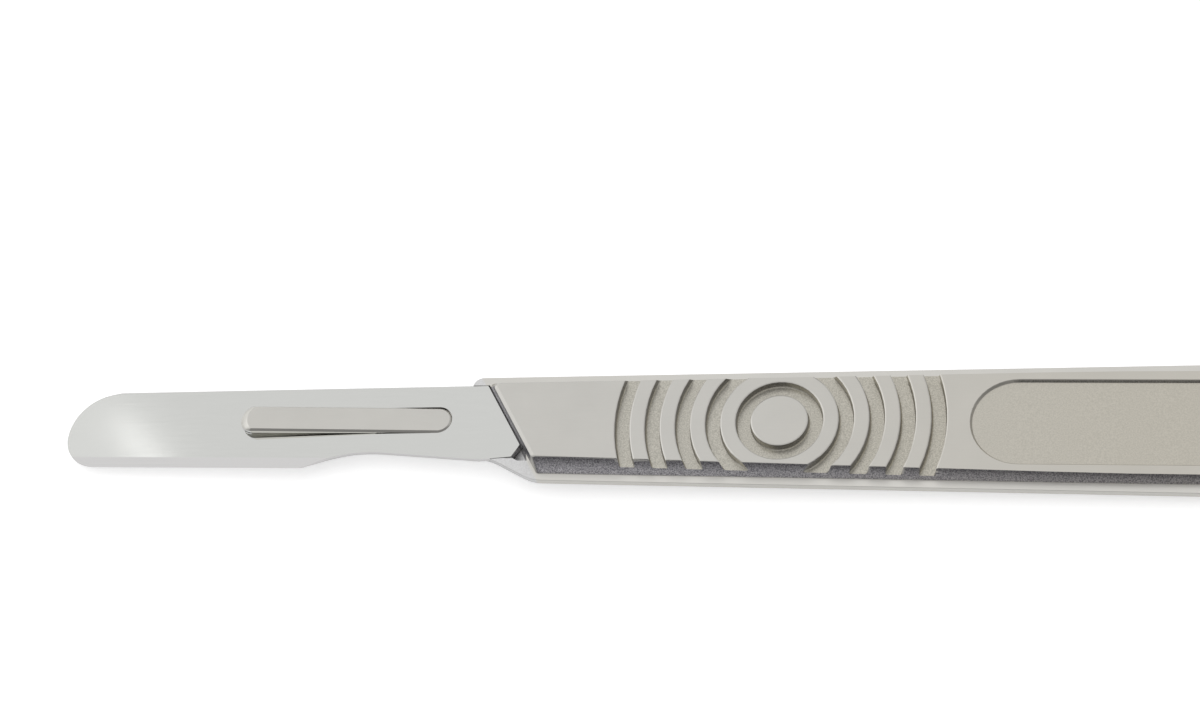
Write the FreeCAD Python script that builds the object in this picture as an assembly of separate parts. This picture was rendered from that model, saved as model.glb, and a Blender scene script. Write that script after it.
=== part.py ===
import FreeCAD, Part
import math
import os
from FreeCAD import Vector

# A detachable-blade scalpel: a forged stainless handle and the blade clipped on its tongue.
# Millimetres. The handle is drawn about its mid-plane: x = 0 at the centre of the grip rings,
# +x to the tail, +y to the blade's spine, +z out of the face that carries the blade.
# The last step lays both pieces on the handle's back face.

# Web: the thin plate all round the handle
handle_length = 125.0
tongue_tip_to_grip = 47.0
web_thickness = 0.61
web_edge_chamfer = 0.03
grip_half_width = 5.30
side_taper = 0.0182
belly_to_tail = 28.6
belly_blend = 0.75
tail_half_width = 4.1
tail_corner_radius = 3.9

# Nub and chin: how the web ends on either side of the blade
nub_front = -26.25
nub_radius = 0.9
chin_front = -24.41
chin_height = 2.75
chin_slope = 0.544
chin_front_radius = 4.0
chin_rear_radius = 3.5
chin_lip_front = -27.2

# Raised panel on both faces, with drafted walls
panel_height = 1.333
panel_slope = 0.0100
foot_half_width = 4.61
foot_taper = 0.0150
foot_tail_half_width = 3.35
foot_tail_margin = 0.8
top_half_width = 4.05
top_taper = 0.0262
top_belly_to_tail = 33.0
top_tail_half_width = 3.15
top_tail_margin = 1.0
panel_tail_radius = 3.0
shoulder_angle = 30.3
shoulder_foot = -22.52
shoulder_draft = 0.20
panel_corner_radius = 0.35
foot_blend_height = 0.12
foot_blend_share = 0.06
foot_flare = 0.03
panel_edge_depth = 0.13
panel_edge_share = 0.95
panel_edge_inset = 0.05
shoulder_edge_inset = 0.26

# Grip pattern: a disc, a ring and arcs left between concentric grooves
grip_pitch = 2.5
disc_radius = 2.245
groove_width = 1.452
groove_count = 5
groove_depth = 0.77
groove_draft = 2.0
groove_floor_chamfer = 0.09
groove_lip = 0.10
groove_lip_depth = 0.05

# Shallow bare recess behind the pattern, front face only
recess_front = 15.47
recess_to_tail = 20.5
recess_height = 7.75
recess_depth = 0.26
recess_draft = 0.12
recess_lip = 0.06

# Blade: strip steel with a slot, a round belly and one straight edge
blade_thickness = 0.4
blade_length = 40.28
blade_pitch = 2.0
blade_proud = 0.06
spine_height = 3.23
heel_point_height = -2.50
heel_chamfer_run = 0.64
heel_bottom = -3.62
heel_low_station = -3.1
heel_low = -3.85
neck_station = -14.2
neck_height = -2.80
neck_radius = 12.0
edge_rear_station = -18.4
edge_rear_height = -4.32
edge_front_height = -3.88
edge_end_radius = 0.8
belly_arc_radius = 4.2
belly_end_slope = 0.176
toe_radius = 2.8
tip_to_notch = 3.56
notch_run = 0.6
notch_depth = 0.13
blade_corner_radius = 0.18
edge_bevel = 0.88
edge_land = 0.04
bevel_run_out = -14.0

# Slot of the blade, and the lug of the handle that fills it
slot_rear = -5.80
slot_length = 18.5
slot_wide = 2.48
slot_wide_length = 6.5
slot_narrow = 1.95
slot_corner_radius = 0.3
lug_clearance = 0.05
lug_rise = 1.2
lug_level_station = -6.5
lug_chamfer = 0.17
lug_nose_radius = 2.0
lug_nose_run = 0.74
lug_nose_drop = 0.50
lug_underside_rise = 2.2
blade_groove_play = 0.04

# Tongue under the blade, and the seat for the blade's heel
seat_station = -22.0
blade_line = 0.86
tongue_half_width = 2.2
tongue_root_half_width = 2.86
tongue_root_start = -29.0
tongue_root_full = -26.6
tongue_depth = 1.55
tongue_nose_chamfer = 0.35
heel_clearance = 0.13
spine_clearance = 0.01
lip_clearance = 0.05
heel_relief_run = 0.55
heel_relief_drop = 0.30
heel_relief_depth = 0.2
seat_overcut = 0.03
seat_corner_height = -3.21
seat_corner_lean = 0.20

tail_station = handle_length - tongue_tip_to_grip
belly_station = tail_station - belly_to_tail
top_belly_station = tail_station - top_belly_to_tail
belly_top = spine_height - notch_depth
half_web = web_thickness / 2
panel_tilt = math.degrees(math.atan(panel_slope))
panel_level = half_web + panel_height
shoulder_lean = math.tan(math.radians(shoulder_angle))
over = 3.0


def rounded_outline(corners):
    """Closed flat outline through corners (x, y, radius), with straight sides between the rounds."""
    rounds = []
    for i, (x, y, radius) in enumerate(corners):
        here = Vector(x, y, 0)
        before = Vector(corners[i - 1][0], corners[i - 1][1], 0) - here
        after = Vector(corners[(i + 1) % len(corners)][0], corners[(i + 1) % len(corners)][1], 0) - here
        half_angle = before.getAngle(after) / 2
        before.normalize()
        after.normalize()
        reach = radius / math.tan(half_angle)
        inward = before + after
        inward.normalize()
        middle = here + inward * (radius / math.sin(half_angle) - radius)
        rounds.append((here + before * reach, middle, here + after * reach, radius))
    edges = []
    for i, (start, middle, end, radius) in enumerate(rounds):
        if radius > 0:
            edges.append(Part.Arc(start, middle, end).toShape())
        following = rounds[(i + 1) % len(rounds)][0]
        edges.append(Part.LineSegment(end, following).toShape())
    return Part.Wire(edges)


def prism(outline, bottom, top):
    face = Part.Face(outline)
    face.translate(Vector(0, 0, bottom))
    return face.extrude(Vector(0, 0, top - bottom))


def drafted_block(lower, upper):
    """Solid with flat ends on the two outlines and straight walls between them."""
    return Part.makeLoft([lower, upper], True, True)


def mirrored(shape):
    """The same shape on the other face of the handle."""
    return shape.mirror(Vector(0, 0, 0), Vector(0, 0, 1))


def side_half_width(x):
    return grip_half_width + side_taper * x


def belly_radius(taper, fall, run):
    """Radius that rounds the belly over its share of the run from there to the tail."""
    turn = math.atan(taper) + math.atan(fall / run)
    return belly_blend * run / math.tan(turn / 2)


def on_shoulder(line, height):
    """Point at the given height on a line parallel to the shoulder that crosses y = 0 at x = line."""
    return line - shoulder_lean * height, height


def web_outline():
    """Nub, spine side, tail, edge side and chin as one closed line, straight across the front."""
    chin_rise = chin_height - chin_slope * chin_front
    chin_rear = (grip_half_width - chin_rise) / (chin_slope - side_taper)
    belly_half = side_half_width(belly_station)
    radius = belly_radius(side_taper, belly_half - tail_half_width, belly_to_tail)
    return rounded_outline([
        (nub_front, side_half_width(nub_front), nub_radius),
        (belly_station, belly_half, radius),
        (tail_station, tail_half_width, tail_corner_radius),
        (tail_station, -tail_half_width, tail_corner_radius),
        (belly_station, -belly_half, radius),
        (chin_rear, -side_half_width(chin_rear), chin_rear_radius),
        (chin_front, -chin_height, chin_front_radius),
        (chin_lip_front, -chin_height, 0),
    ])


def web():
    plate = prism(web_outline(), -half_web, half_web)
    rims = [e for e in plate.Edges if abs(e.BoundBox.ZLength) < 1e-6]
    return plate.makeChamfer(web_edge_chamfer, rims)


def panel_outline(share, grow, front_grow):
    """Outline of the raised panel at one level: share 0 is its foot on the web, 1 its top.

    grow widens it all round, and front_grow does so at the slanted shoulder.
    """
    def between(foot, top):
        return foot + share * (top - foot)
    taper = between(foot_taper, top_taper)
    half = between(foot_half_width, top_half_width) + grow
    belly = between(belly_station, top_belly_station)
    tail_x = tail_station - between(foot_tail_margin, top_tail_margin) + grow
    tail_half = between(foot_tail_half_width, top_tail_half_width) + grow
    line = shoulder_foot + share * shoulder_draft - front_grow / math.cos(math.radians(shoulder_angle))
    fronts = []
    for side in (1, -1):
        height = side * (half + taper * line) / (1 + side * taper * shoulder_lean)
        fronts.append(on_shoulder(line, height))
    belly_half = half + taper * belly
    radius = belly_radius(taper, belly_half - tail_half, tail_x - belly)
    return rounded_outline([
        (fronts[0][0], fronts[0][1], panel_corner_radius),
        (belly, belly_half, radius),
        (tail_x, tail_half, panel_tail_radius),
        (tail_x, -tail_half, panel_tail_radius),
        (belly, -belly_half, radius),
        (fronts[1][0], fronts[1][1], panel_corner_radius),
    ])


def on_panel(shape):
    """Carry a shape drawn at z = 0 up to the sloping top of the front panel."""
    placed = shape.copy()
    placed.rotate(Vector(0, 0, 0), Vector(0, 1, 0), panel_tilt)
    placed.translate(Vector(0, 0, panel_level))
    return placed


def panel():
    """One raised panel: blended foot on the web, drafted walls and a broken top edge."""
    foot = panel_outline(0, foot_flare, foot_flare)
    foot.translate(Vector(0, 0, half_web))
    wall_foot = panel_outline(foot_blend_share, 0, 0)
    wall_foot.translate(Vector(0, 0, half_web + foot_blend_height))
    wall_top = panel_outline(panel_edge_share, 0, 0)
    wall_top.translate(Vector(0, 0, -panel_edge_depth))
    top = panel_outline(1, -panel_edge_inset, -shoulder_edge_inset)
    return Part.makeLoft([foot, wall_foot, on_panel(wall_top), on_panel(top)], True, True)


def blank():
    """Web with a panel on each face."""
    front = panel()
    return web().fuse([front, mirrored(front)])


def grip_groove(index):
    """Ring-shaped cutter for one groove: drafted walls, broken floor corners and a lip."""
    inner = disc_radius + index * grip_pitch
    outer = inner + groove_width
    wall_height = groove_depth - groove_lip_depth - groove_floor_chamfer
    lean = math.tan(math.radians(groove_draft)) * wall_height
    wall_end = groove_lip + lean
    floor_edge = wall_end + groove_floor_chamfer
    section = rounded_outline([
        (inner, over, 0),
        (inner, 0, 0),
        (inner + groove_lip, -groove_lip_depth, 0),
        (inner + wall_end, groove_floor_chamfer - groove_depth, 0),
        (inner + floor_edge, -groove_depth, 0),
        (outer - floor_edge, -groove_depth, 0),
        (outer - wall_end, groove_floor_chamfer - groove_depth, 0),
        (outer - groove_lip, -groove_lip_depth, 0),
        (outer, 0, 0),
        (outer, over, 0),
    ])
    section.rotate(Vector(0, 0, 0), Vector(1, 0, 0), 90)
    return on_panel(Part.Face(section).revolve(Vector(0, 0, 0), Vector(0, 0, 1), 360))


def recess():
    """Cutter for the bare recess: a long round-ended pocket with leaning walls."""
    def stadium(grow):
        rear = tail_station - recess_to_tail
        half = recess_height / 2
        return rounded_outline([
            (recess_front - grow, half + grow, half + grow - 0.01),
            (rear + grow, half + grow, half + grow - 0.01),
            (rear + grow, -half - grow, half + grow - 0.01),
            (recess_front - grow, -half - grow, half + grow - 0.01),
        ])
    floor = stadium(-recess_draft)
    floor.translate(Vector(0, 0, -recess_depth))
    mouth = stadium(0)
    mouth.translate(Vector(0, 0, -recess_lip))
    lip = stadium(recess_lip)
    pocket = drafted_block(floor, mouth).fuse(drafted_block(mouth, lip))
    return on_panel(pocket.fuse(prism(lip, 0, 1.0)).removeSplitter())


def on_seat(shape):
    """Carry a shape drawn in the blade's own frame to the pitched seat of the tongue."""
    placed = shape.copy()
    placed.rotate(Vector(0, 0, 0), Vector(0, 1, 0), -blade_pitch)
    placed.translate(Vector(seat_station, blade_line, half_web + blade_proud - blade_thickness))
    return placed


def heel_line():
    """Where the blade's rear edge crosses the blade's own x axis."""
    across = on_shoulder(shoulder_foot, blade_line)[0] - seat_station
    return across + seat_overcut - heel_clearance / math.cos(math.radians(shoulder_angle))


def blade_outline():
    """Spine, notch, belly, toe, straight edge, neck and slanted heel, in the blade's own frame."""
    heel_point = (heel_line() - shoulder_lean * heel_point_height, heel_point_height)
    tip = heel_point[0] - blade_length
    return [
        (heel_line() - shoulder_lean * spine_height, spine_height, blade_corner_radius),
        (heel_point[0], heel_point[1], blade_corner_radius),
        (heel_point[0] - heel_chamfer_run, heel_bottom, blade_corner_radius),
        (heel_low_station, heel_low, 0.5),
        (neck_station, neck_height, neck_radius),
        (edge_rear_station, edge_rear_height, edge_end_radius),
        (tip, edge_front_height, toe_radius),
        (tip, belly_top - belly_end_slope * tip_to_notch, belly_arc_radius),
        (tip + tip_to_notch, belly_top, 0),
        (tip + tip_to_notch + notch_run, spine_height, blade_corner_radius),
    ]


def keyhole(inset):
    """Outline of the blade's slot, wide at the heel end, or of what fits it with a clearance."""
    rear = slot_rear - inset
    front = slot_rear - slot_length + inset
    step = slot_rear - slot_wide_length + inset
    wide = slot_wide / 2 - inset
    narrow = slot_narrow / 2 - inset
    return rounded_outline([
        (rear, wide, wide - 0.01),
        (step, wide, slot_corner_radius),
        (step - 2 * (wide - narrow), narrow, slot_corner_radius),
        (front, narrow, narrow - 0.01),
        (front, -narrow, narrow - 0.01),
        (step - 2 * (wide - narrow), -narrow, slot_corner_radius),
        (step, -wide, slot_corner_radius),
        (rear, -wide, wide - 0.01),
    ])


def edge_facet():
    """Cutter above one face for the ground facet along the straight edge, from the toe to its run-out."""
    tip = heel_line() - shoulder_lean * heel_point_height - blade_length
    low = (blade_thickness + edge_land) / 2
    fall = (blade_thickness - edge_land) / 2 / edge_bevel
    section = Part.Face(rounded_outline([
        (-1.0, low - fall, 0),
        (edge_bevel, blade_thickness, 0),
        (edge_bevel, blade_thickness + 1.0, 0),
        (-1.0, blade_thickness + 1.0, 0),
    ]))
    section.rotate(Vector(0, 0, 0), Vector(1, 0, 0), 90)
    section.rotate(Vector(0, 0, 0), Vector(0, 0, 1), 90)
    cutter = section.extrude(Vector(bevel_run_out - tip + over, 0, 0))
    cutter.translate(Vector(-over, 0, 0))
    slope = math.atan2(edge_front_height - edge_rear_height, edge_rear_station - tip)
    cutter.rotate(Vector(0, 0, 0), Vector(0, 0, 1), -math.degrees(slope))
    cutter.translate(Vector(tip, edge_front_height, 0))
    return cutter


def blade():
    """Strip steel blanked to the outline, slotted, and ground to an edge from both faces."""
    strip = prism(rounded_outline(blade_outline()), 0, blade_thickness).cut(prism(keyhole(0), -over, over))
    facet = edge_facet()
    under = facet.mirror(Vector(0, 0, blade_thickness / 2), Vector(0, 0, 1))
    return on_seat(strip.cut([facet, under]))


def tongue_block():
    """Bar under the seat that runs from inside the shoulder to the tongue's tip."""
    root_rear = shoulder_foot + 2 * panel_height
    block = prism(rounded_outline([
        (root_rear, blade_line + tongue_root_half_width, 0),
        (tongue_root_full, blade_line + tongue_root_half_width, 1.5),
        (tongue_root_start, blade_line + tongue_half_width, 2.0),
        (-tongue_tip_to_grip, blade_line + tongue_half_width, 0.9 * tongue_half_width),
        (-tongue_tip_to_grip, blade_line - tongue_half_width, 0.9 * tongue_half_width),
        (tongue_root_start, blade_line - tongue_half_width, 2.0),
        (tongue_root_full, blade_line - tongue_root_half_width, 1.5),
        (root_rear, blade_line - tongue_root_half_width, 0),
    ]), -tongue_depth, half_web)
    under = [e for e in block.Edges if abs(e.BoundBox.ZMax + tongue_depth) < 1e-6
             and e.BoundBox.XMax < root_rear - 1e-3]
    return block.makeChamfer(tongue_nose_chamfer, under)


def seat_cutter():
    """Everything above the seat: the room for the blade, with a relief below its heel's chamfer."""
    wall = heel_line() + heel_clearance / math.cos(math.radians(shoulder_angle))
    spine = spine_height + spine_clearance
    low = heel_bottom - lip_clearance
    relief = low - heel_relief_drop
    corner_wall = wall - shoulder_lean * seat_corner_height

    def beside(height):
        """Point on the steeper wall below the seat's corner."""
        return corner_wall + seat_corner_lean * (seat_corner_height - height), height
    corner = heel_line() - shoulder_lean * heel_point_height - heel_chamfer_run
    front = -tongue_tip_to_grip - over - seat_station
    room = prism(rounded_outline([
        (wall - shoulder_lean * spine, spine, 0),
        (corner_wall, seat_corner_height, 0),
        (*beside(low), 0),
        (corner, low, 0),
        (heel_low_station, heel_low - lip_clearance, 0),
        (heel_low_station - 3.0, heel_low - 1.0, 0),
        (front, heel_low - 1.0, 0),
        (front, spine, 0),
    ]), 0, over)
    pocket = prism(rounded_outline([
        (wall - shoulder_lean * heel_point_height, heel_point_height, 0),
        (corner_wall, seat_corner_height, 0),
        (*beside(relief), 0),
        (corner + heel_relief_run, relief, 0.1),
        (corner, low, 0),
    ]), -heel_relief_depth, over)
    return on_seat(room.fuse(pocket))


def lug():
    """Neck that fills the slot, and a head over it as wide as the slot's wide part lets through."""
    rear = slot_rear - lug_clearance
    front = slot_rear - slot_length + lug_clearance
    half = slot_wide / 2 - lug_clearance
    underside = blade_thickness + blade_groove_play
    step = slot_rear - slot_wide_length
    head = prism(rounded_outline([
        (rear, half, half - 0.01),
        (front, half, half - 0.01),
        (front, -half, half - 0.01),
        (rear, -half, half - 0.01),
    ]), 0, over)
    lid = Part.makeBox(3 * slot_length, 4 * half, 2 * over, Vector(-2 * slot_length, -2 * half, 0))
    lid.rotate(Vector(0, 0, 0), Vector(0, 1, 0), lug_rise + blade_pitch)
    lid.translate(Vector(lug_level_station, 0, blade_thickness))
    head = head.cut(lid)
    crown = [e for e in head.Edges if e.BoundBox.ZMin > 0.1]
    head = head.makeChamfer(lug_chamfer, crown)
    crest = blade_thickness + (lug_level_station - front) * math.tan(math.radians(lug_rise + blade_pitch))
    nose_rise = 2 * lug_nose_drop
    nose = Part.makeCone(lug_nose_radius, lug_nose_radius - 2 * lug_nose_run, nose_rise,
                         Vector(front + lug_nose_radius, 0, crest - lug_nose_drop))
    outside = Part.makeBox(lug_nose_radius + over, 4 * half, nose_rise,
                           Vector(front - over, -2 * half, crest - lug_nose_drop)).cut(nose)
    neck = prism(keyhole(lug_clearance), -over, over)
    room = prism(keyhole(-over), -over, underside)
    room.rotate(Vector(step, 0, underside), Vector(0, 1, 0), lug_underside_rise)
    return on_seat(head.cut([outside, room.cut(neck)]))


def handle():
    """The forged handle: blank, grip pattern, recess, tongue, seat and lug."""
    body = blank()
    grooves = [grip_groove(i) for i in range(groove_count)]
    body = body.cut(grooves + [mirrored(g) for g in grooves] + [recess()])
    body = body.fuse(tongue_block())
    body = body.cut(seat_cutter())
    return body.fuse(lug()).removeSplitter()


def lay_on_back(shape):
    """Turn the sloping back face level, stand it on z = 0 and centre the whole length on x = 0."""
    tip = seat_station + heel_line() - shoulder_lean * heel_point_height - blade_length
    middle = (tip + tail_station) / 2
    laid = shape.copy()
    laid.rotate(Vector(0, 0, 0), Vector(0, 1, 0), panel_tilt)
    laid.translate(Vector(-middle, 0, panel_level * math.cos(math.radians(panel_tilt))))
    return laid


os.makedirs("parts", exist_ok=True)
for name, solid in (("handle", handle()), ("blade", blade())):
    lay_on_back(solid).exportStep("parts/" + name + ".step")
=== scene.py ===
import bpy
import math
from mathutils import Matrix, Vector

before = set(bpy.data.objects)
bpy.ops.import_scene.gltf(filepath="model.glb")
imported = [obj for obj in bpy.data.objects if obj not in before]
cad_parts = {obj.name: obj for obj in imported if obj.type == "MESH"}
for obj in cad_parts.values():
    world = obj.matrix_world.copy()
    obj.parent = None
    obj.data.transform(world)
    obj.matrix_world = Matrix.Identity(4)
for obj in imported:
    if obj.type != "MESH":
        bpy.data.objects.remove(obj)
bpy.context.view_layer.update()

scene = bpy.context.scene
scene.view_settings.view_transform = "Standard"

# Handle
# One forging of stainless steel, with the tongue and the lug that carry the blade. Panels and rim are
# ground satin; walls and grip grooves are blasted, so darker. Several zones also carry painted light
# and painted shade. Both faces are alike, so the zones are told apart by their distance from the
# mid-plane.


def soften(piece, rounding, sharp_angle, smooth):
    """Weld the CAD faces, clear flat triangles and round the sharp edges a little.

    A smooth piece also shares its normals, so that its curved faces show no facets.
    """
    for face in piece.data.polygons:
        face.use_smooth = smooth
    weld = piece.modifiers.new("weld", "WELD")
    weld.merge_threshold = 0.000002
    planar = piece.modifiers.new("planar", "DECIMATE")
    planar.decimate_type = "DISSOLVE"
    planar.angle_limit = math.radians(0.6)
    edge = piece.modifiers.new("edge", "BEVEL")
    edge.width = rounding
    edge.segments = 2
    edge.limit_method = "ANGLE"
    edge.angle_limit = math.radians(sharp_angle)
    edge.use_clamp_overlap = True
    if smooth:
        normals = piece.modifiers.new("normals", "WEIGHTED_NORMAL")
        normals.weight = 60
        normals.keep_sharp = False


def add(tree, kind, **settings):
    """Add a node. Names that begin with in_ set its inputs, the others set the node itself."""
    node = tree.nodes.new("ShaderNode" + kind)
    for name, value in settings.items():
        if name.startswith("in_"):
            node.inputs[name[3:]].default_value = value
        else:
            setattr(node, name, value)
    return node


def math_node(tree, operation, first, second=None):
    """Arithmetic on two sockets or numbers."""
    node = add(tree, "Math", operation=operation)
    for i, value in enumerate((first, second)):
        if isinstance(value, (int, float)):
            node.inputs[i].default_value = value
        elif value is not None:
            tree.links.new(value, node.inputs[i])
    return node.outputs[0]


def map_range(tree, value, start, end, low, high, interpolation="LINEAR"):
    """Turn start to end into low to high, and hold it at both ends."""
    node = add(tree, "MapRange", interpolation_type=interpolation)
    node.inputs["From Min"].default_value = start
    node.inputs["From Max"].default_value = end
    node.inputs["To Min"].default_value = low
    node.inputs["To Max"].default_value = high
    tree.links.new(value, node.inputs["Value"])
    return node.outputs["Result"]


def step(tree, value, none, full):
    """A mask, 0 on one side of a soft step and 1 on the other, whichever way it goes."""
    if none < full:
        return map_range(tree, value, none, full, 0.0, 1.0, "SMOOTHSTEP")
    return map_range(tree, value, full, none, 1.0, 0.0, "SMOOTHSTEP")


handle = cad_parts["handle"]
soften(handle, rounding=0.00003, sharp_angle=24, smooth=True)

# The zones of the forging, each a mask that is 1 inside it. All lengths are in millimetres.
zones = bpy.data.node_groups.new("forging_zones", "ShaderNodeTree")
zones_out = zones.nodes.new("NodeGroupOutput")
place = add(zones, "TexCoord")
position = add(zones, "SeparateXYZ")
zones.links.new(place.outputs["Object"], position.inputs[0])
normal = add(zones, "SeparateXYZ")
zones.links.new(place.outputs["Normal"], normal.inputs[0])


def zone_math(operation, first, second=None):
    return math_node(zones, operation, first, second)


def times(*masks):
    product = masks[0]
    for mask in masks[1:]:
        product = zone_math("MULTIPLY", product, mask)
    return product


def less(mask):
    return zone_math("SUBTRACT", 1.0, mask)


def where(value, none, full):
    return step(zones, value, none, full)


def put_out(name, value):
    """Give the group an output that carries the value."""
    zones.interface.new_socket(name, in_out="OUTPUT", socket_type="NodeSocketFloat")
    zones.links.new(value, zones_out.inputs[name])


x_mm = times(position.outputs["X"], 1000)
y_mm = times(position.outputs["Y"], 1000)
z_mm = times(position.outputs["Z"], 1000)
to_tail = normal.outputs["X"]
to_spine = normal.outputs["Y"]
to_front = normal.outputs["Z"]
across = zone_math("ABSOLUTE", y_mm)
level = zone_math("ABSOLUTE", to_front)
steep = where(level, 0.66, 0.52)
flat = where(level, 0.75, 0.9)
abrupt = where(level, 0.84, 0.78)

# The handle lies on its back panel, so its mid-plane lies half its thickness up.
disc_x = -8.02
half_thickness_at_disc = 1.638
thinning = -0.0100
from_disc = zone_math("SUBTRACT", x_mm, disc_x)
mid_plane = zone_math("ADD", times(from_disc, thinning), half_thickness_at_disc)
height = zone_math("ABSOLUTE", zone_math("SUBTRACT", z_mm, mid_plane))
depth = zone_math("SUBTRACT", mid_plane, height)
raised = where(height, 0.33, 0.37)
put_out("Depth", depth)

# The body lies behind the slanted shoulder. In front of it lie the tongue and the lug.
shoulder_slant = 0.5843
behind = zone_math("ADD", x_mm, times(y_mm, shoulder_slant))
body = where(behind, -30.95, -30.75)
# The shoulder's wall gets painted shade, darker towards its lower end, and its rounded edge is painted
# darker to dim its highlight
shoulder_shade = times(where(behind, -30.1, -30.3), where(y_mm, 3.0, -2.5))
shoulder_rounding = times(where(level, 0.5, 0.6), where(level, 0.98, 0.95), where(behind, -29.9, -30.1))
put_out("Shoulder", times(steep, raised, body, shoulder_shade))
put_out("Shoulder edge", times(raised, body, shoulder_rounding))

# The lug stands up from the tongue. It is off the handle's centre line.
lug_y = 0.86
from_lug = zone_math("ABSOLUTE", zone_math("SUBTRACT", y_mm, lug_y))
lug = times(less(body), where(from_lug, 1.7, 1.6), where(z_mm, 1.5, 1.6))
lug_near_side = times(lug, where(to_spine, -0.2, -0.5))
lug_rounding = times(where(level, 0.55, 0.65), where(level, 0.9, 0.8))
lug_far_and_front = zone_math("MAXIMUM", where(to_spine, 0.08, 0.2), where(to_tail, -0.05, -0.15))
# The lug's near side is painted lighter as a painted reflection of the blade, its near rounded edge
# gets painted shade, and its far side and front are painted lighter as a painted highlight
put_out("Lug side", times(lug_near_side, where(level, 0.5, 0.3)))
put_out("Lug edge", times(lug_near_side, lug_rounding))
put_out("Lug top", times(lug, lug_far_and_front))

# The rim and its lower foot, both painted lighter as painted light, the front end, and the panel that
# turns warmer to the tail
put_out("Rim", times(less(raised), less(lug)))
put_out("Foot", times(less(raised), flat, body, where(y_mm, 0.0, -1.0)))
put_out("Front", times(less(body), less(lug)))
put_out("Tail", times(where(x_mm, -18.0, 26.0), raised))

# The grip grooves lie inside the outermost ring. Their walls that face the light keep the finish of the
# floors, and the others get painted shade.
facing_along = where(zone_math("ABSOLUTE", to_tail), 0.15, 0.25)
inside_foot = where(across, 3.86, 3.80)
squares = zone_math("ADD", times(from_disc, from_disc), times(y_mm, y_mm))
inside_rings = where(zone_math("SQRT", squares), 13.82, 13.76)
pattern = times(zone_math("MAXIMUM", facing_along, inside_foot), inside_rings)
lit_wall = times(abrupt, pattern, raised, body, where(to_tail, 0.05, -0.35))
groove_floor = times(less(steep), where(depth, 0.40, 0.48), raised, body)
groove = zone_math("MAXIMUM", groove_floor, lit_wall)
put_out("Groove", groove)

# The recess is shallow. Of its walls only the one that faces the viewer gets painted shade.
recess_inside = times(where(across, 4.12, 4.06), where(x_mm, 6.4, 6.6), where(x_mm, 51.0, 50.8))
recess_depth = times(where(depth, 0.16, 0.24), where(depth, 0.40, 0.32))
recess_floor = times(recess_depth, flat)
recess_wall = times(steep, recess_inside)
recess_dark_wall = times(recess_wall, where(to_spine, -0.3, -0.8))
put_out("Recess", times(zone_math("MAXIMUM", recess_floor, recess_wall), raised, body))
put_out("Side", times(zone_math("MAXIMUM", times(abrupt, pattern), recess_dark_wall), raised, body))

# The panels' outer walls, blasted and darkened further with painted shade, but for the bright corner
# beside the shoulder's lower end
corner = times(where(to_tail, -0.25, -0.5), where(y_mm, -3.1, -3.5))
wall = times(steep, raised, body, less(corner), less(pattern), less(recess_inside))
put_out("Wall", wall)

# The milled pockets in the web, blasted and darkened further with painted shade, and painted shade in
# the hollow at the shoulder's lower end, which grows darker towards the blade
notch_shade_strength = 0.85
notch_along = times(where(x_mm, -28.9, -30.2), where(x_mm, -31.0, -30.8))
notch_across = times(where(y_mm, -2.95, -2.80), where(y_mm, -1.3, -1.5))
notch_floor = times(where(to_front, -0.2, 0.0), where(height, 0.42, 0.36))
notch_shade = times(notch_shade_strength, notch_along, notch_across, notch_floor)
pocket_and_shade = zone_math("MAXIMUM", times(where(height, 0.28, 0.22), flat, body), notch_shade)
put_out("Pocket and shade", pocket_and_shade)

# Fine marks drawn out along the piece, left by grinding on the handle and by rolling on
# the blade
marks = bpy.data.node_groups.new("drawn_marks", "ShaderNodeTree")
marks.interface.new_socket("Stretch", in_out="INPUT", socket_type="NodeSocketVector")
marks.interface.new_socket("Scale", in_out="INPUT", socket_type="NodeSocketFloat")
marks.interface.new_socket("Detail", in_out="INPUT", socket_type="NodeSocketFloat")
marks.interface.new_socket("Roughness", in_out="INPUT", socket_type="NodeSocketFloat")
marks.interface.new_socket("Marks", in_out="OUTPUT", socket_type="NodeSocketFloat")
marks_in = marks.nodes.new("NodeGroupInput")
marks_out = marks.nodes.new("NodeGroupOutput")
place = add(marks, "TexCoord")
drawn = add(marks, "Mapping")
marks.links.new(place.outputs["Object"], drawn.inputs["Vector"])
marks.links.new(marks_in.outputs["Stretch"], drawn.inputs["Scale"])
noise = add(marks, "TexNoise")
marks.links.new(drawn.outputs["Vector"], noise.inputs["Vector"])
for name in ("Scale", "Detail", "Roughness"):
    marks.links.new(marks_in.outputs[name], noise.inputs[name])
marks.links.new(noise.outputs["Fac"], marks_out.inputs["Marks"])


def drawn_marks(tree, along, scale, roughness):
    """Place the group. The smaller along is, the longer the marks are."""
    node = add(tree, "Group", node_tree=marks, in_Scale=scale, in_Detail=3.0, in_Roughness=roughness)
    node.inputs["Stretch"].default_value = (along, 1.0, 1.0)
    return node.outputs["Marks"]


def noise_node(tree, scale, detail, roughness):
    """Plain noise fixed to the piece."""
    coordinates = add(tree, "TexCoord")
    node = add(tree, "TexNoise", in_Scale=scale, in_Detail=detail, in_Roughness=roughness)
    tree.links.new(coordinates.outputs["Object"], node.inputs["Vector"])
    return node.outputs["Fac"]


def mix_colours(tree, amount, first, second, blend="MIX"):
    """Mix two colours, each a socket or plain red, green and blue, by a socket from 0 to 1."""
    node = add(tree, "Mix", data_type="RGBA", blend_type=blend)
    tree.links.new(amount, node.inputs["Factor"])
    for name, colour in (("A", first), ("B", second)):
        if isinstance(colour, tuple):
            node.inputs[name].default_value = (*colour, 1)
        else:
            tree.links.new(colour, node.inputs[name])
    return node.outputs["Result"]


def steel_material(name):
    """A metal material, with its node tree and its shader."""
    material = bpy.data.materials.new(name)
    material.use_nodes = True
    principled = material.node_tree.nodes["Principled BSDF"]
    principled.inputs["Metallic"].default_value = 1.0
    return material, material.node_tree, principled


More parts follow.
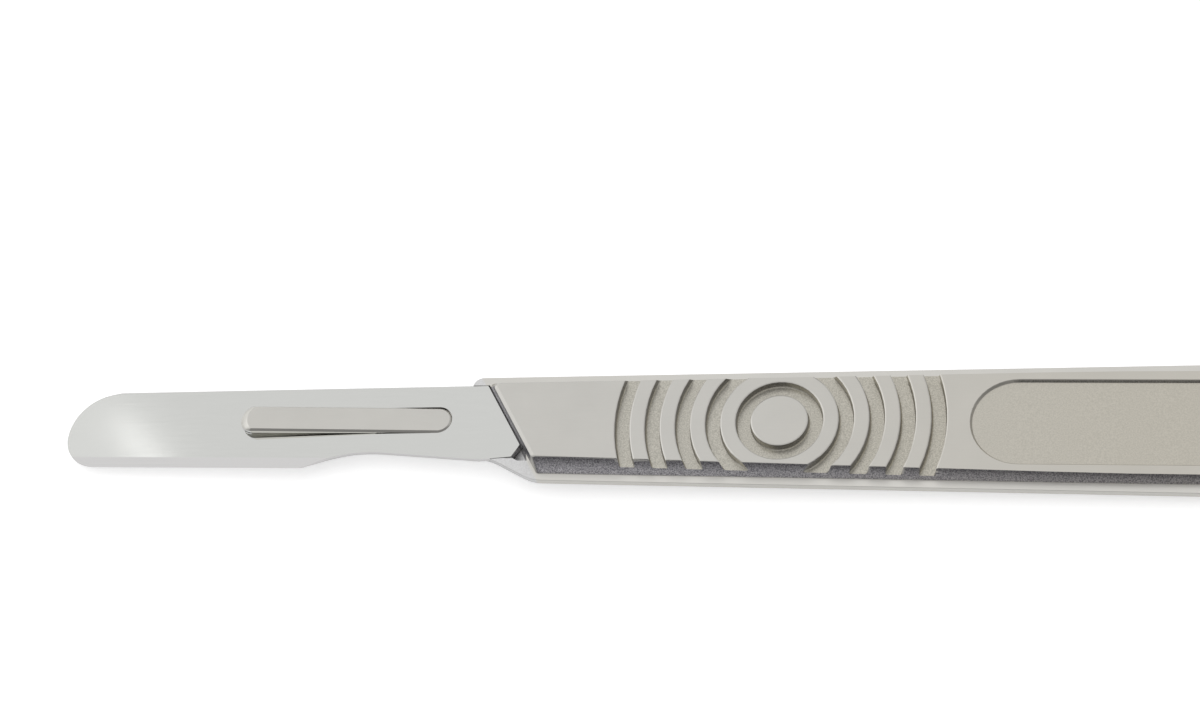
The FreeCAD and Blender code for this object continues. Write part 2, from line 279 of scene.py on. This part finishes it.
def use_bump(tree, principled, relief, strength, distance):
    node = add(tree, "Bump", in_Strength=strength, in_Distance=distance)
    tree.links.new(relief, node.inputs["Height"])
    tree.links.new(node.outputs["Normal"], principled.inputs["Normal"])


def set_material(piece, material):
    piece.data.materials.clear()
    piece.data.materials.append(material)


handle_steel, tree, shader = steel_material("handle_steel")
zone = add(tree, "Group", node_tree=zones)
grit = noise_node(tree, scale=9000.0, detail=2.0, roughness=0.6)
cloud = noise_node(tree, scale=260.0, detail=3.0, roughness=0.55)
brush = drawn_marks(tree, along=0.06, scale=9000.0, roughness=0.65)

# Colour: the satin of the panels, and over it each zone's own grainy steel. The colours of the side,
# pocket and wall zones hold painted shade as well.
clouds = math_node(tree, "MULTIPLY", cloud, 0.6)
strokes = math_node(tree, "MULTIPLY", brush, 0.4)
tone = math_node(tree, "ADD", clouds, strokes)
colour = mix_colours(tree, tone, (0.545, 0.535, 0.505), (0.632, 0.618, 0.583))
grains = step(tree, grit, 0.3, 0.7)
for name, darkest, lightest in (
        ("Front", (0.560, 0.557, 0.553), (0.635, 0.634, 0.635)),
        ("Recess", (0.505, 0.490, 0.445), (0.590, 0.570, 0.520)),
        ("Side", (0.21, 0.205, 0.20), (0.39, 0.38, 0.37)),
        ("Groove", (0.415, 0.400, 0.352), (0.600, 0.577, 0.515)),
        ("Pocket and shade", (0.10, 0.10, 0.105), (0.26, 0.255, 0.26)),
        ("Wall", (0.13, 0.127, 0.14), (0.42, 0.41, 0.425))):
    colour = mix_colours(tree, zone.outputs[name], colour, mix_colours(tree, grains, darkest, lightest))
colour = mix_colours(tree, zone.outputs["Tail"], colour, (0.965, 0.945, 0.905), "MULTIPLY")


def amount_in_zone(name, amount):
    """The amount inside the zone, and 1 outside it."""
    node = add(tree, "Mix", data_type="FLOAT", in_A=1.0)
    tree.links.new(zone.outputs[name], node.inputs["Factor"])
    if isinstance(amount, float):
        node.inputs["B"].default_value = amount
    else:
        tree.links.new(amount, node.inputs["B"])
    return node.outputs["Result"]


# Painted light and shade: the walls are painted darkest at the panel's edge, where shade falls under
# it, and grow lighter down to the rim
wall_shade_by_depth = map_range(tree, zone.outputs["Depth"], 0.15, 1.3, 0.55, 1.75)
# Each zone's amount paints light and shade: lighter rim, foot, lug side and lug front, darker shoulder
# wall, shoulder edge and lug edge
painted_light_and_shade = 1.0
for name, amount in (("Wall", wall_shade_by_depth), ("Rim", 1.12), ("Foot", 1.09), ("Shoulder", 0.62),
                     ("Shoulder edge", 0.87), ("Lug side", 1.7), ("Lug edge", 0.62), ("Lug top", 1.18)):
    painted_light_and_shade = math_node(tree, "MULTIPLY", amount_in_zone(name, amount), painted_light_and_shade)
shaded = add(tree, "VectorMath", operation="SCALE")
tree.links.new(colour, shaded.inputs[0])
tree.links.new(painted_light_and_shade, shaded.inputs["Scale"])
tree.links.new(shaded.outputs["Vector"], shader.inputs["Base Color"])

# Roughness: the walls and pockets are the roughest, and the side of the lug is polished
wall_or_pocket = math_node(tree, "MAXIMUM", zone.outputs["Wall"], zone.outputs["Pocket and shade"])
satin_roughness = math_node(tree, "ADD", math_node(tree, "MULTIPLY", brush, 0.12), 0.28)
roughness = math_node(tree, "ADD", math_node(tree, "MULTIPLY", wall_or_pocket, 0.22), satin_roughness)
roughness = math_node(tree, "MULTIPLY", roughness, amount_in_zone("Lug side", 0.35))
tree.links.new(roughness, shader.inputs["Roughness"])

blasted = math_node(tree, "MAXIMUM", wall_or_pocket, zone.outputs["Groove"])
blasted_grain = math_node(tree, "MULTIPLY", blasted, grit)
brushed_grain = math_node(tree, "MULTIPLY", brush, 0.15)
relief = math_node(tree, "ADD", blasted_grain, brushed_grain)
use_bump(tree, shader, relief, strength=0.35, distance=0.00001)
set_material(handle, handle_steel)

# Blade
# Cold-rolled steel strip, smoother and brighter than the handle, and ground to an edge. Its
# keyhole slot slides over the lug, and its slanted heel then snaps down at the shoulder.
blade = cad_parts["blade"]
soften(blade, rounding=0.000012, sharp_angle=25, smooth=False)

blade_steel, tree, shader = steel_material("blade_steel")
rolled = drawn_marks(tree, along=0.04, scale=7000.0, roughness=0.6)
strip_colour = mix_colours(tree, rolled, (0.626, 0.630, 0.612), (0.663, 0.668, 0.648))
place = add(tree, "TexCoord")
normal = add(tree, "SeparateXYZ")
tree.links.new(place.outputs["Normal"], normal.inputs[0])
ground_edge = step(tree, normal.outputs["Z"], 0.99, 0.975)
blade_colour = mix_colours(tree, ground_edge, strip_colour, (0.672, 0.662, 0.661))
tree.links.new(blade_colour, shader.inputs["Base Color"])
roughness = math_node(tree, "ADD", math_node(tree, "MULTIPLY", rolled, 0.04), 0.06)
tree.links.new(roughness, shader.inputs["Roughness"])
use_bump(tree, shader, rolled, strength=0.12, distance=0.000004)
set_material(blade, blade_steel)

# Floor
# A plain white table top that the scalpel lies on. It glows a little for the camera, so
# that it looks as white as the photo's background, and still takes the object's shadow.
half_side = 3
corners = [(-half_side, -half_side, 0), (half_side, -half_side, 0),
           (half_side, half_side, 0), (-half_side, half_side, 0)]
floor_mesh = bpy.data.meshes.new("floor")
floor_mesh.from_pydata(corners, [], [(0, 1, 2, 3)])
floor = bpy.data.objects.new("floor", floor_mesh)
floor.location = (0, 0, -0.00002)
scene.collection.objects.link(floor)

table = bpy.data.materials.new("table")
table.use_nodes = True
tree = table.node_tree
shader = tree.nodes["Principled BSDF"]
shader.inputs["Base Color"].default_value = (0.86, 0.86, 0.86, 1)
shader.inputs["Roughness"].default_value = 0.9
shader.inputs["Specular IOR Level"].default_value = 0.0
shader.inputs["Emission Color"].default_value = (1, 1, 1, 1)
path = add(tree, "LightPath")
seen = math_node(tree, "MULTIPLY", path.outputs["Is Camera Ray"], 0.52)
mirrored = math_node(tree, "MULTIPLY", path.outputs["Is Glossy Ray"], 0.25)
tree.links.new(math_node(tree, "ADD", seen, mirrored), shader.inputs["Emission Strength"])
floor_mesh.materials.append(table)

# Light
# Soft studio light: a pale room that is brighter above and behind, a large soft box low
# on the left, and two small ones whose reflections light the blade near its tip.
world = bpy.data.worlds.new("studio")
scene.world = world
world.use_nodes = True
tree = world.node_tree
place = add(tree, "TexCoord")
to_bright_side = add(tree, "VectorMath", operation="DOT_PRODUCT")
to_bright_side.inputs[1].default_value = Vector((-0.25, 0.45, 0.85)).normalized()
tree.links.new(place.outputs["Generated"], to_bright_side.inputs[0])
room_light = map_range(tree, to_bright_side.outputs["Value"], -0.5, 0.8, 0.15, 0.93)
background = tree.nodes["Background"]
background.inputs["Color"].default_value = (1, 1, 1, 1)
tree.links.new(room_light, background.inputs["Strength"])

# Each lamp: its name, place, turn in degrees, size in metres and power in watts. A lamp
# with no turn is aimed at the middle of the scene.
for name, location, turn, size, power in (
        ("left", (-0.85, 0.28, 0.5), None, (0.8, 0.8), 0.9),
        ("tip", (-0.345, 0.287, 0.487), None, (0.06, 0.09), 0.0016),
        ("glow", (-0.3060, 0.2863, 0.5070), (-36.97, 1.85, 42.76), (0.005, 0.024), 0.00033)):
    lamp_data = bpy.data.lights.new(name, "AREA")
    lamp_data.shape = "RECTANGLE"
    lamp_data.size, lamp_data.size_y = size
    lamp_data.energy = power
    lamp = bpy.data.objects.new(name, lamp_data)
    lamp.location = location
    if turn:
        lamp.rotation_euler = [math.radians(angle) for angle in turn]
    else:
        lamp.rotation_euler = (-Vector(location)).to_track_quat("-Z", "Y").to_euler()
    scene.collection.objects.link(lamp)

# Camera
# It stands above the near side of the handle and looks down at a slant, which puts the
# tail outside the picture, as in the photo.
camera_data = bpy.data.cameras.new("camera")
camera_data.lens = 87.9
camera_data.sensor_width = 36.0
camera_data.clip_start = 0.01
camera = bpy.data.objects.new("camera", camera_data)
camera.location = (0.0247198, -0.1174061, 0.2090039)
camera.rotation_euler = [math.radians(angle) for angle in (31.498879, 9.989471, 5.453754)]
scene.collection.objects.link(camera)
scene.camera = camera
